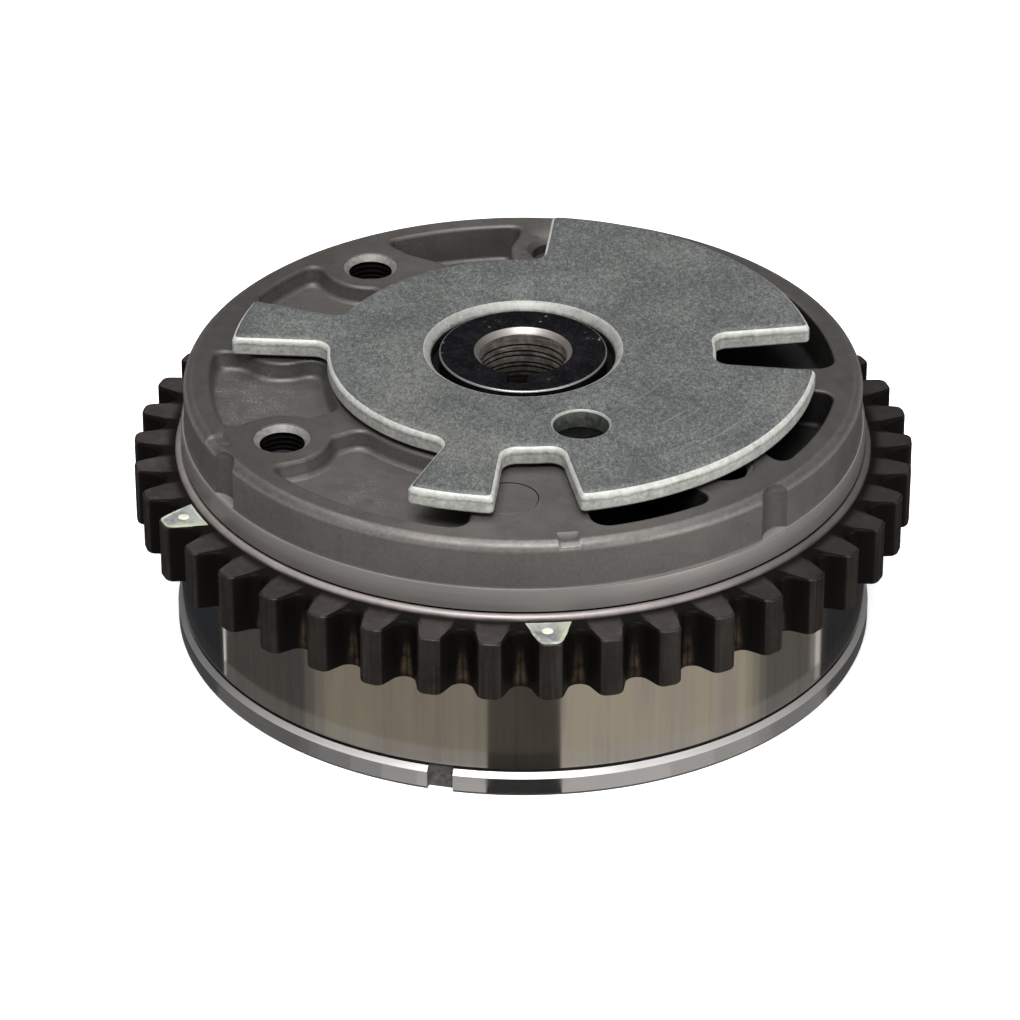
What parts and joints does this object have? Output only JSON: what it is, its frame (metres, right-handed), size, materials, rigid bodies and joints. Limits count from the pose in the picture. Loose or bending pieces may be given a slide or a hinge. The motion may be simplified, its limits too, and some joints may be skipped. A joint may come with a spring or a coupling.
{
  "type": "camshaft phaser",
  "caption": "Vane-type camshaft phaser: chain sprocket drum with a pocketed front cover and a stamped trigger wheel on the turning rotor.",
  "frame": {"origin": "centre of the rear face, on the turning axis", "axes": "+Z along the turning axis from the rear face to the trigger wheel; +X to the right and -Y to the viewer in the picture"},
  "size_m": [0.107, 0.1068, 0.041],
  "materials": {
    "sintered_cover": "matte sintered steel, warm dark grey",
    "dark_teeth": "oiled, hardened, near black",
    "polished_drum": "fine ground, mirror bright",
    "ground_plate": "turned and ground",
    "black_steel": "black oxide",
    "ground_pin": "ground",
    "seal_plastic": "moulded",
    "spring_steel": "drawn",
    "sintered_rotor": "matte sintered steel",
    "zinc_sheet": "zinc plated, mottled grey with bright edges"
  },
  "bodies": {
    "housing": {"front_cover": "sintered_cover", "cover_plug": "sintered_cover", "sprocket_ring": "dark_teeth", "stator": "polished_drum", "rear_plate": "ground_plate", "clamp_screws": "black_steel", "dowel_pins": "ground_pin", "lock_seat": "ground_pin", "stator_seals": "seal_plastic", "stator_seal_springs": "spring_steel"},
    "rotor": {"rotor": "sintered_rotor", "hub_bush": "black_steel", "trigger_seat": "black_steel", "trigger_wheel": "zinc_sheet", "vane_seals": "seal_plastic", "vane_seal_springs": "spring_steel", "lock_cap": "ground_pin", "cam_dowel": "ground_pin"},
    "lock": {"lock_pin": "ground_pin", "lock_spring": "spring_steel"}
  },
  "joints": [
    {"name": "rotor_turn", "type": "hinge", "parent": "housing", "child": "rotor", "pos_m": [0, 0, 0.02], "axis": [0, 0, 1], "range_deg": [0, 30]},
    {"name": "lock_slide", "type": "slide", "parent": "rotor", "child": "lock", "axis": [0, 0, 1], "range_m": [0, 0.0025], "stiffness_N_per_m": 500, "springref_m": -0.005, "deforming": ["lock_spring"]}
  ]
}
